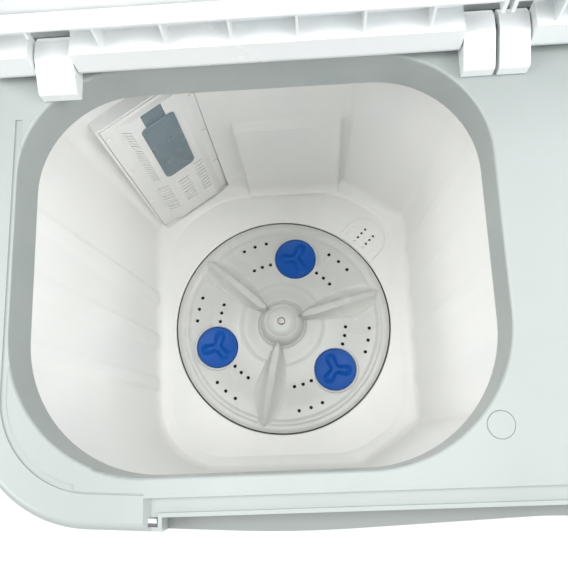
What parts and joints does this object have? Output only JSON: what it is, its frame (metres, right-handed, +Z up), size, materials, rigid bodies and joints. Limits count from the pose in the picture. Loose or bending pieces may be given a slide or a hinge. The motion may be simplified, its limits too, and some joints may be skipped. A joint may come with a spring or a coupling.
{
  "type": "twin-tub washing machine",
  "caption": "Twin-tub top-load washing machine with a pulsator wash tub, a spin basket, hinged lids standing open and a rear control panel.",
  "frame": {"origin": "middle of the footprint, on the floor under the feet", "axes": "+X to the right as seen by the user, +Y to the back (control panel side), +Z up"},
  "size_m": [0.74, 0.4586, 1.1203],
  "materials": {
    "rubber_black": "matt moulded",
    "rubber_gray": "smooth, slightly soft",
    "base_gray": "fine grained",
    "cabinet_white": "glossy, injection moulded",
    "cover_steel": "powder coated sheet",
    "screw_steel": "bright plated",
    "shaft_steel": "turned",
    "deck_gray": "satin gloss, cool gray",
    "tub_white": "satin, warm white",
    "pulsator_white": "satin",
    "disc_blue": "glossy, saturated blue",
    "filter_gray": "satin blue gray",
    "net_fabric": "fine nylon net",
    "cast_metal": "cast",
    "pulley_gray": "fine grained",
    "lid_white": "glossy white",
    "fascia_gray": "printed satin film",
    "cover_clear": "satin, slightly translucent",
    "basket_white": "satin",
    "knob_white": "glossy"
  },
  "bodies": {
    "root": {"feet": "rubber_black", "base_frame": "base_gray", "cabinet_shell": "cabinet_white", "rear_cover": "cover_steel", "cabinet_screws": "screw_steel", "top_deck": "deck_gray", "deck_plug_cap": "deck_gray", "deck_screws": "screw_steel", "wash_tub": "tub_white", "drain_grille": "deck_gray", "lint_filter_housing": "tub_white", "gearbox_housing": "cast_metal", "shaft_seal": "rubber_black", "drive_belt": "rubber_black", "wash_motor": "cast_metal", "motor_bracket": "cover_steel", "motor_capacitor": "cast_metal", "spin_outer_tub": "tub_white", "bellows_seal": "rubber_black", "brake_band": "cover_steel", "spin_motor": "cast_metal", "spin_motor_mounts": "rubber_black", "hinge_brackets": "lid_white", "hinge_pins": "shaft_steel", "control_panel": "lid_white", "panel_back_cover": "base_gray", "panel_fascia": "fascia_gray", "wash_timer": "base_gray", "selector_switches": "base_gray", "spin_timer": "base_gray", "water_inlet_spigot": "base_gray", "water_spout": "lid_white", "drain_valve_body": "base_gray", "valve_spring": "shaft_steel", "drain_pipe": "rubber_gray"},
    "wash_lid": {"wash_lid": "lid_white"},
    "spin_lid": {"spin_lid": "lid_white"},
    "spin_cover": {"spin_cover": "cover_clear"},
    "pulsator": {"pulsator": "pulsator_white", "pulsator_washer": "shaft_steel", "pulsator_screw": "screw_steel", "pulsator_shaft": "shaft_steel"},
    "disc_1": {"pulsator_disc_1": "disc_blue"},
    "disc_2": {"pulsator_disc_2": "disc_blue"},
    "disc_3": {"pulsator_disc_3": "disc_blue"},
    "gearbox_pulley": {"gearbox_pulley": "pulley_gray"},
    "motor_pulley": {"motor_pulley": "cast_metal"},
    "basket": {"spin_basket": "basket_white", "basket_balance_ring": "base_gray", "spin_shaft": "shaft_steel", "basket_nut": "screw_steel", "brake_drum": "pulley_gray"},
    "brake_lever": {"brake_lever": "cover_steel"},
    "lint_filter": {"lint_filter": "filter_gray", "lint_net": "net_fabric"},
    "drain_valve_plug": {"drain_valve_plug": "rubber_black"},
    "wash_timer_knob": {"wash_timer_knob": "knob_white"},
    "wash_selector_knob": {"wash_selector_knob": "knob_white"},
    "drain_selector_knob": {"drain_selector_knob": "knob_white"},
    "spin_timer_knob": {"spin_timer_knob": "knob_white"}
  },
  "joints": [
    {"name": "wash_lid_hinge", "type": "hinge", "parent": "root", "child": "wash_lid", "pos_m": [-0.16, 0.147, 0.776], "axis": [-1, 0, 0], "range_deg": [-93, 0]},
    {"name": "spin_lid_hinge", "type": "hinge", "parent": "root", "child": "spin_lid", "pos_m": [0.205, 0.147, 0.776], "axis": [-1, 0, 0], "range_deg": [-93, 0]},
    {"name": "spin_cover_hinge", "type": "hinge", "parent": "root", "child": "spin_cover", "pos_m": [0.208, 0.089, 0.755], "axis": [-1, 0, 0], "range_deg": [0, 80]},
    {"name": "pulsator_spin", "type": "hinge", "parent": "root", "child": "pulsator", "pos_m": [-0.152, -0.01, 0.345], "axis": [0, 0, 1], "continuous": true},
    {"name": "disc_1_spin", "type": "hinge", "parent": "pulsator", "child": "disc_1", "pos_m": [-0.13108, 0.08062, 0.348], "axis": [0, 0, 1], "continuous": true},
    {"name": "disc_2_spin", "type": "hinge", "parent": "pulsator", "child": "disc_2", "pos_m": [-0.24094, -0.03719, 0.348], "axis": [0, 0, 1], "continuous": true},
    {"name": "disc_3_spin", "type": "hinge", "parent": "pulsator", "child": "disc_3", "pos_m": [-0.08398, -0.07343, 0.348], "axis": [0, 0, 1], "continuous": true},
    {"name": "gearbox_pulley_spin", "type": "hinge", "parent": "root", "child": "gearbox_pulley", "pos_m": [-0.152, -0.01, 0.243], "axis": [0, 0, 1], "continuous": true},
    {"name": "motor_pulley_spin", "type": "hinge", "parent": "root", "child": "motor_pulley", "pos_m": [-0.282, -0.07, 0.243], "axis": [0, 0, 1], "continuous": true},
    {"name": "basket_spin", "type": "hinge", "parent": "root", "child": "basket", "pos_m": [0.208, -0.014, 0.4], "axis": [0, 0, 1], "continuous": true},
    {"name": "brake_lever_pivot", "type": "hinge", "parent": "root", "child": "brake_lever", "pos_m": [0.272, 0.022, 0.217], "axis": [0, 0, 1], "range_deg": [-6, 0]},
    {"name": "lint_filter_slide", "type": "slide", "parent": "root", "child": "lint_filter", "axis": [0.5536, -0.8328, 0], "range_m": [0, 0.05]},
    {"name": "drain_valve_lift", "type": "slide", "parent": "root", "child": "drain_valve_plug", "axis": [0, 0, 1], "range_m": [0, 0.0101], "stiffness_N_per_m": 150, "springref_m": -0.004, "deforming": ["valve_spring"]},
    {"name": "wash_timer_turn", "type": "hinge", "parent": "root", "child": "wash_timer_knob", "pos_m": [-0.24, 0.193, 0.829], "axis": [0, -0.8099, 0.5865], "range_deg": [-300, 0]},
    {"name": "wash_selector_turn", "type": "hinge", "parent": "root", "child": "wash_selector_knob", "pos_m": [-0.08, 0.193, 0.829], "axis": [0, -0.8099, 0.5865], "range_deg": [-45, 45]},
    {"name": "drain_selector_turn", "type": "hinge", "parent": "root", "child": "drain_selector_knob", "pos_m": [0.08, 0.193, 0.829], "axis": [0, -0.8099, 0.5865], "range_deg": [-90, 0]},
    {"name": "spin_timer_turn", "type": "hinge", "parent": "root", "child": "spin_timer_knob", "pos_m": [0.24, 0.193, 0.829], "axis": [0, -0.8099, 0.5865], "range_deg": [-300, 0]}
  ],
  "couplings": [
    {"joint": "gearbox_pulley_spin", "follows": "pulsator_spin", "ratio": 4},
    {"joint": "motor_pulley_spin", "follows": "pulsator_spin", "ratio": 11.809},
    {"joint": "brake_lever_pivot", "follows": "spin_lid_hinge", "ratio": 0.06}
  ]
}
